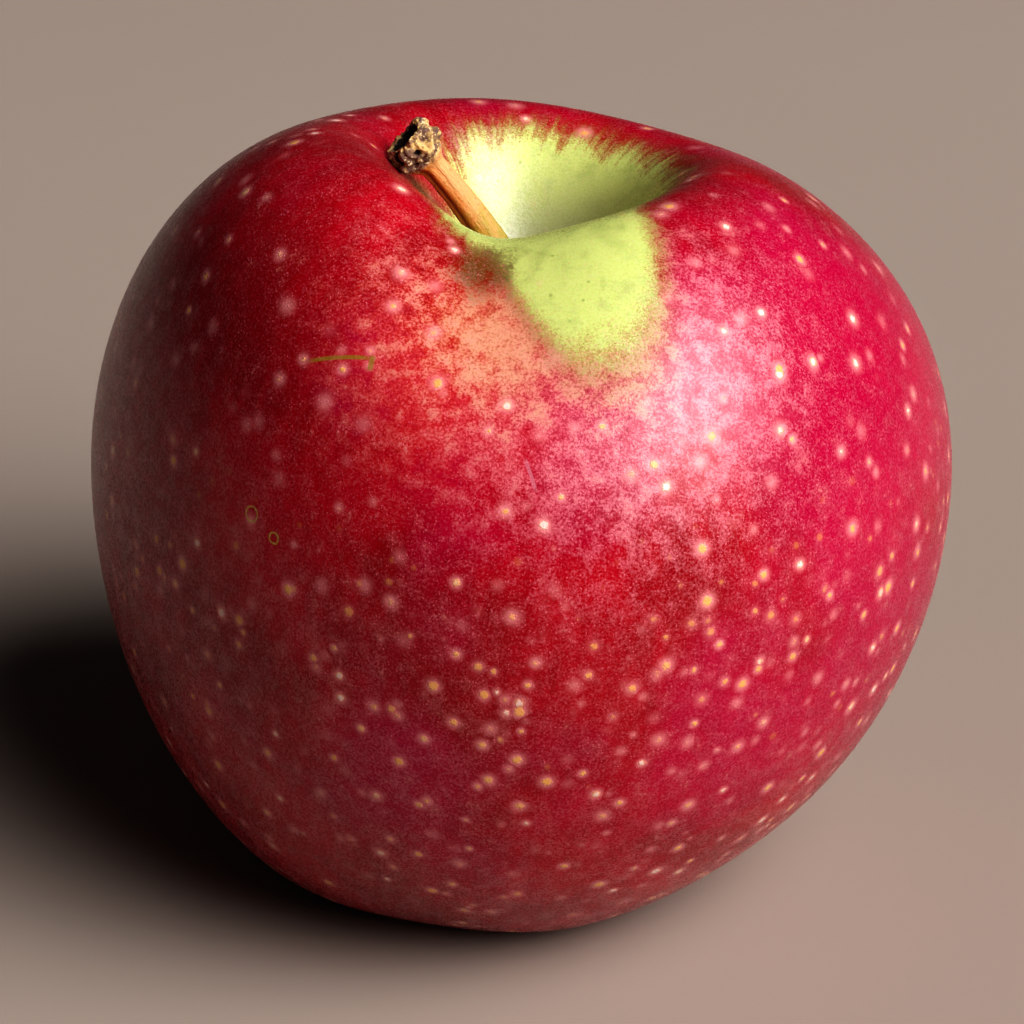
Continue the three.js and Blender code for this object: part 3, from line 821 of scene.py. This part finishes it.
def stamenSurface(index, random):
    # A filament: radius = stalk + a bulge near the free end, closed by a round at both ends.
    shape = stamenShape
    azimuth, ring = shape["turn"] * index, shape["ring"] * np.sqrt((index + 0.5) / shape["count"])
    length = random.uniform(*shape["length"])
    around, down = polarGrid(shape["rows"], shape["columns"])
    along = down / np.pi
    bulge = bell(along * 100, shape["headAt"], shape["headLength"])
    closing = np.sqrt(1 - np.abs(2 * along - 1) ** shape["endRound"])
    radius = (shape["radius"] + (shape["headRadius"] - shape["radius"]) * bulge) * closing
    lean = ring + shape["splay"] * along ** shape["splayCurve"] * random.uniform(*shape["splayRange"])
    sway = shape["sway"] * along * random.uniform(-1, 1)
    x = lean * np.cos(azimuth + sway) + radius * np.cos(around)
    y = lean * np.sin(azimuth) + radius * np.sin(around)
    foot = basinAxis(basinFloor(shape["middle"], 0.0) - shape["gap"])
    return np.stack([x, y, -length * along], -1) + foot, along


def bossSurface():
    # A low dome that the filaments stand on: a ball squashed to its own radius and height, with a wavy rim.
    shape = stamenShape
    around, down = polarGrid(shape["bossRows"], shape["bossColumns"])
    count, size = shape["bossWaves"]
    radius = shape["bossRadius"] * (1 + size * np.cos(count * around)) * np.sin(down)
    height = shape["bossHeight"] / 2
    foot = basinAxis(basinFloor(shape["middle"], 0.0) - height)
    ball = [radius * np.cos(around), radius * np.sin(around), height * np.cos(down)]
    return np.stack(ball, -1) + foot, down * 0


def stamenMaterial(look):
    nodes = Nodes("dried_stamen")
    grain = nodes.noise(nodes.millimetres(), *look["grain"])
    color = nodes.mix(nodes.span(nodes.attribute("down"), *look["headStep"]), look["stalk"], look["head"])
    color = nodes.mix(nodes.span(grain, *look["paleStep"]), color, look["pale"])
    bump = nodes.bump(grain, look["bumpDepth"] * mm)
    return nodes.finish(color, look["roughness"], bump, Specular_IOR_Level=look["specularLevel"])


random = np.random.default_rng(stamenShape["seed"])
shells = [bossSurface()] + [stamenSurface(index, random) for index in range(stamenShape["count"])]
stamens = closedGrid("stamen_tuft", *[points * mm for points, along in shells])
writeAttribute(stamens, "down", *[along for points, along in shells])
stamens.data.materials.append(stamenMaterial(stamenLook))
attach(stamens, "root")
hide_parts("stamens")
print("stamens done")

# The stage, in metres, but for the two aims, which are millimetres. Lights face their aim from "towards".
stageLook = dict(
    floorSide=4.0, floorDark=srgb(152, 138, 128), floorLight=srgb(160, 147, 138), floorNoise=(6.0, 3.0),
    floorRoughness=0.75, lightAim=(0, 0, 36), worldColor=(0.9, 0.92, 0.95, 1), worldStrength=0.02,
    cameraRise=27.0, cameraDistance=0.55, cameraAim=(-0.66, 0.55, 32.6),
    lens=219.4, sensor=36, clipStart=0.01,
)
softLights = dict(
    key_softbox=dict(
        towards=(0.63, -0.42, 0.66), distance=0.75, size=(1.1, 0.8), spread=60,
        watts=3.9, color=(1.0, 0.98, 0.97),
    ),
    fill_softbox=dict(
        towards=(-0.5, -0.7, 0.6), distance=1.4, size=(1.0, 1.0), spread=180,
        watts=0.13, color=(0.95, 0.97, 1.0),
    ),
)


def makeFloor(look):
    corners = np.array([[-1, -1, 0], [1, -1, 0], [1, 1, 0], [-1, 1, 0]]) * look["floorSide"] / 2
    mesh = bpy.data.meshes.new("floor")
    mesh.from_pydata(corners.tolist(), [], [(0, 1, 2, 3)])
    floor = bpy.data.objects.new("floor", mesh)
    bpy.context.scene.collection.objects.link(floor)
    nodes = Nodes("pale_floor")
    spot = nodes.add("ShaderNodeTexCoord").outputs["Object"]
    tone = nodes.mix(nodes.noise(spot, *look["floorNoise"]), look["floorDark"], look["floorLight"])
    floor.data.materials.append(nodes.finish(tone, look["floorRoughness"]))


def addSoftLight(name, towards, distance, size, watts, color, spread):
    light = bpy.data.lights.new(name, "AREA")
    light.shape = "RECTANGLE"
    light.size, light.size_y = size
    light.energy = watts
    light.color = color
    light.spread = np.radians(spread)
    lamp = bpy.data.objects.new(name, light)
    bpy.context.scene.collection.objects.link(lamp)
    direction = Vector(towards).normalized()
    lamp.location = Vector(stageLook["lightAim"]) * mm + direction * distance
    lamp.rotation_euler = direction.to_track_quat("Z", "Y").to_euler()


def makeCamera(look):
    camera = bpy.data.objects.new("camera", bpy.data.cameras.new("camera"))
    bpy.context.scene.collection.objects.link(camera)
    angle = np.radians(look["cameraRise"])
    back = Vector((0, -np.cos(angle), np.sin(angle)))
    camera.location = Vector(look["cameraAim"]) * mm + back * look["cameraDistance"]
    camera.rotation_euler = Euler((np.pi / 2 - angle, 0, 0))
    camera.data.lens = look["lens"]
    camera.data.sensor_width = look["sensor"]
    camera.data.clip_start = look["clipStart"]
    bpy.context.scene.camera = camera


def makeWorld(look):
    world = bpy.data.worlds.new("studio")
    world.use_nodes = True
    background = world.node_tree.nodes["Background"].inputs
    background["Color"].default_value = look["worldColor"]
    background["Strength"].default_value = look["worldStrength"]
    bpy.context.scene.world = world


makeFloor(stageLook)
for name, settings in softLights.items():
    addSoftLight(name, **settings)
makeCamera(stageLook)
makeWorld(stageLook)
bpy.context.scene.view_settings.view_transform = "Standard"
bpy.context.scene.view_settings.look = "High Contrast"
print("stage, lights and camera set")
